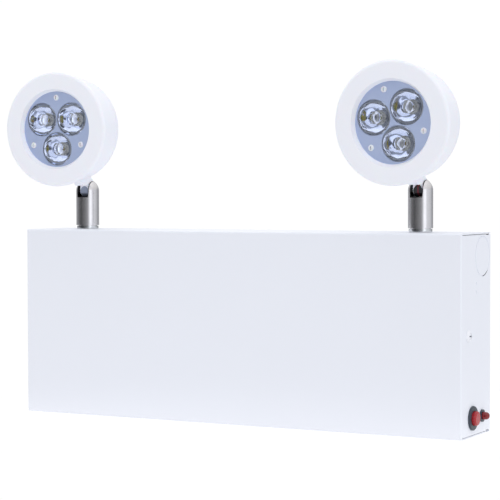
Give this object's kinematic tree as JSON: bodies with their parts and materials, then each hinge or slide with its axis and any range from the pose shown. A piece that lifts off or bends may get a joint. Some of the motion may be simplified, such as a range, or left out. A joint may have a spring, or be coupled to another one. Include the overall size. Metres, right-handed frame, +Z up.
{
  "type": "emergency exit light",
  "caption": "White steel emergency light cabinet with swivelling round lamp heads on fork stems above it, a test button and a pilot lamp.",
  "frame": {"origin": "centre of the wall face, at the cabinet's mid width and mid height", "axes": "+X to the right seen from the front, the front looks towards -Y, +Z up"},
  "size_m": [0.3297, 0.0715, 0.2333],
  "materials": {
    "white_enamel": "smooth semi-gloss white powder coat",
    "galvanised_sheet": "galvanised sheet",
    "white_screw": "white painted steel",
    "satin_nickel": "satin nickel plate",
    "bright_steel": "bright zinc plate",
    "zinc_steel": "zinc plated steel",
    "white_moulding": "fine satin white moulding",
    "silver_plate": "silver paint",
    "clear_lens": "clear moulded acrylic",
    "chip": "yellow phosphor under clear silicone",
    "lamp_board": "white solder mask on aluminium",
    "heat_sink": "die-cast aluminium",
    "pale_screw": "nickel plate",
    "lead_pair": "red and black insulation",
    "red_lead": "red insulation",
    "black_lead": "black insulation",
    "white_lead": "white insulation",
    "battery_case": "matt black case",
    "charger_board": "green solder mask",
    "black_plastic": "matt black moulding",
    "relay_blue": "blue relay case",
    "capacitor": "dark sleeve",
    "laminations": "varnished laminations",
    "winding": "amber tape over copper wire",
    "natural_nylon": "natural nylon",
    "brass": "brass",
    "green_screw": "green painted steel",
    "slate_bezel": "dark slate moulding",
    "red_button": "matt red moulding",
    "red_lamp": "glossy red lens"
  },
  "bodies": {
    "cabinet": {"front_cover": "white_enamel", "back_plate": "galvanised_sheet", "cover_screws": "white_screw", "battery": "battery_case", "battery_blades": "brass", "battery_strap": "zinc_steel", "chassis_screws": "zinc_steel", "charger_board": "charger_board", "board_standoffs": "natural_nylon", "relay": "relay_blue", "lamp_socket": "natural_nylon", "capacitors": "capacitor", "transformer_core": "laminations", "transformer_coil": "winding", "transformer_bracket": "zinc_steel", "terminal_block": "black_plastic", "ground_screw": "green_screw", "wire_clips": "natural_nylon", "test_button_bezel": "slate_bezel", "switch_body": "black_plastic", "switch_blades": "brass", "switch_nut": "zinc_steel", "pilot_lamp": "red_lamp", "pilot_clip": "black_plastic", "red_leads": "red_lead", "black_leads": "black_lead", "white_leads": "white_lead"},
    "button": {"test_button": "red_button"},
    "left_stem_body": {"left_stem": "satin_nickel", "left_stem_collar": "bright_steel", "left_stem_nut": "zinc_steel", "left_pivot_screw": "pale_screw", "left_friction_washer": "bright_steel", "left_stem_leads": "lead_pair"},
    "left_head_body": {"left_lamp_shell": "white_moulding", "left_back_cover": "white_moulding", "left_cover_bolts": "pale_screw", "left_heat_sink": "heat_sink", "left_lamp_board": "lamp_board", "left_emitters": "chip", "left_lenses": "clear_lens", "left_face_plate": "silver_plate", "left_module_screws": "pale_screw", "left_lamp_leads": "lead_pair"},
    "right_stem_body": {"right_stem": "satin_nickel", "right_stem_collar": "bright_steel", "right_stem_nut": "zinc_steel", "right_pivot_screw": "pale_screw", "right_friction_washer": "bright_steel", "right_stem_leads": "lead_pair"},
    "right_head_body": {"right_lamp_shell": "white_moulding", "right_back_cover": "white_moulding", "right_cover_bolts": "pale_screw", "right_heat_sink": "heat_sink", "right_lamp_board": "lamp_board", "right_emitters": "chip", "right_lenses": "clear_lens", "right_face_plate": "silver_plate", "right_module_screws": "pale_screw", "right_lamp_leads": "lead_pair"}
  },
  "joints": [
    {"name": "left_pan", "type": "hinge", "parent": "cabinet", "child": "left_stem_body", "pos_m": [-0.1268, -0.0253, 0.0635], "axis": [0, 0, 1], "range_deg": [-170, 170]},
    {"name": "left_tilt", "type": "hinge", "parent": "left_stem_body", "child": "left_head_body", "pos_m": [-0.1268, -0.0253, 0.091], "axis": [-0.9986, -0.0523, 0], "range_deg": [-38, 90]},
    {"name": "right_pan", "type": "hinge", "parent": "cabinet", "child": "right_stem_body", "pos_m": [0.1237, -0.0253, 0.0635], "axis": [0, 0, 1], "range_deg": [-170, 170]},
    {"name": "right_tilt", "type": "hinge", "parent": "right_stem_body", "child": "right_head_body", "pos_m": [0.1237, -0.0253, 0.091], "axis": [-0.9994, 0.0349, 0], "range_deg": [-38, 90]},
    {"name": "test_button_press", "type": "slide", "parent": "cabinet", "child": "button", "axis": [-1, 0, 0], "range_m": [0, 0.0018], "stiffness_N_per_m": 300, "springref_m": -0.003}
  ]
}
